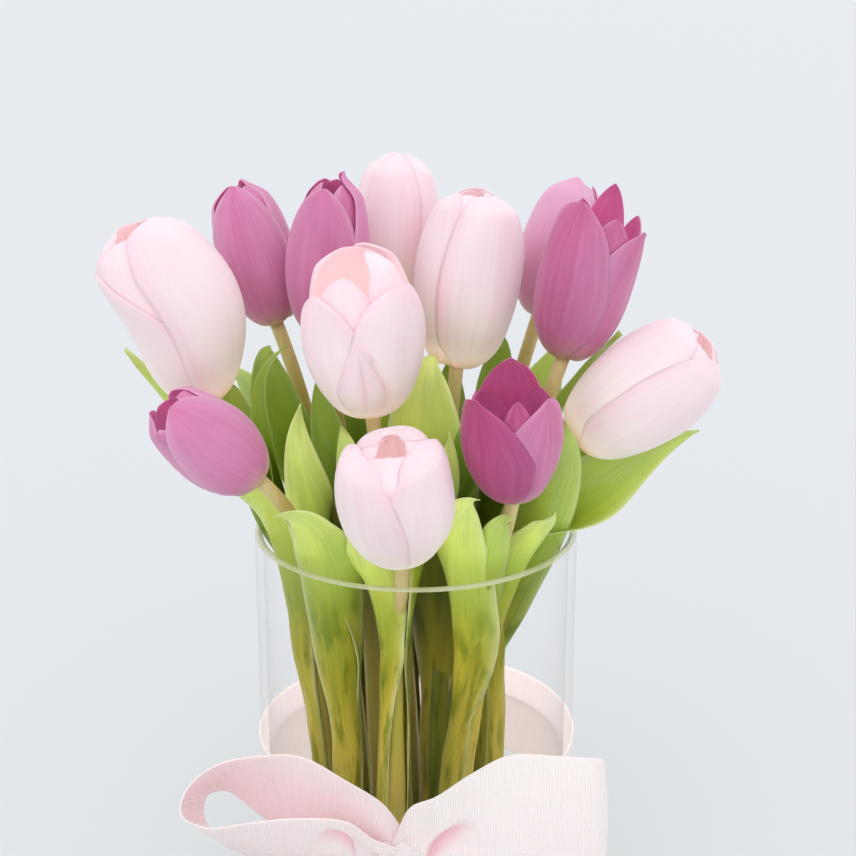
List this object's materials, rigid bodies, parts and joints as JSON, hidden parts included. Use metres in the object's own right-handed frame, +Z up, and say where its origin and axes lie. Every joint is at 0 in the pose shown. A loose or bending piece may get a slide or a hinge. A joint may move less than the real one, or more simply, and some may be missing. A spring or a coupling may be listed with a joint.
{
  "type": "tulips in a vase",
  "caption": "A bunch of pink and mauve cut tulips with long leaves, standing in water in a round glass vase tied with a ribbon bow.",
  "frame": {"origin": "centre of the vase's flat underside", "axes": "+Z up, from the vase's underside to the highest bloom; the bow faces -Y; +X is to the right of someone who faces the bow"},
  "size_m": [0.2169, 0.1551, 0.3126],
  "materials": {
    "clear_glass": "polished",
    "water": "clear",
    "ribbon": "ribbed grosgrain",
    "leaf_green": "waxy",
    "pale_pink_petal": "silky",
    "mauve_petal": "silky"
  },
  "bodies": {
    "root": {"vase": "clear_glass", "water": "water", "ribbon_band": "ribbon", "ribbon_bow": "ribbon", "leafy_stem_p1": "leaf_green", "leafy_stem_m1": "leaf_green", "leafy_stem_m2": "leaf_green", "leafy_stem_p2": "leaf_green", "leafy_stem_p4": "leaf_green", "leafy_stem_p3": "leaf_green", "leafy_stem_m3": "leaf_green", "leafy_stem_m4": "leaf_green", "leafy_stem_p5": "leaf_green", "leafy_stem_m5": "leaf_green", "leafy_stem_p6": "leaf_green", "leafy_stem_m6": "leaf_green", "bloom_p1": "pale_pink_petal", "bloom_m1": "mauve_petal", "bloom_m2": "mauve_petal", "bloom_p2": "pale_pink_petal", "bloom_p4": "pale_pink_petal", "bloom_p3": "pale_pink_petal", "bloom_m3": "mauve_petal", "bloom_m4": "mauve_petal", "bloom_p5": "pale_pink_petal", "bloom_m5": "mauve_petal", "bloom_p6": "pale_pink_petal", "bloom_m6": "mauve_petal"}
  },
  "joints": []
}
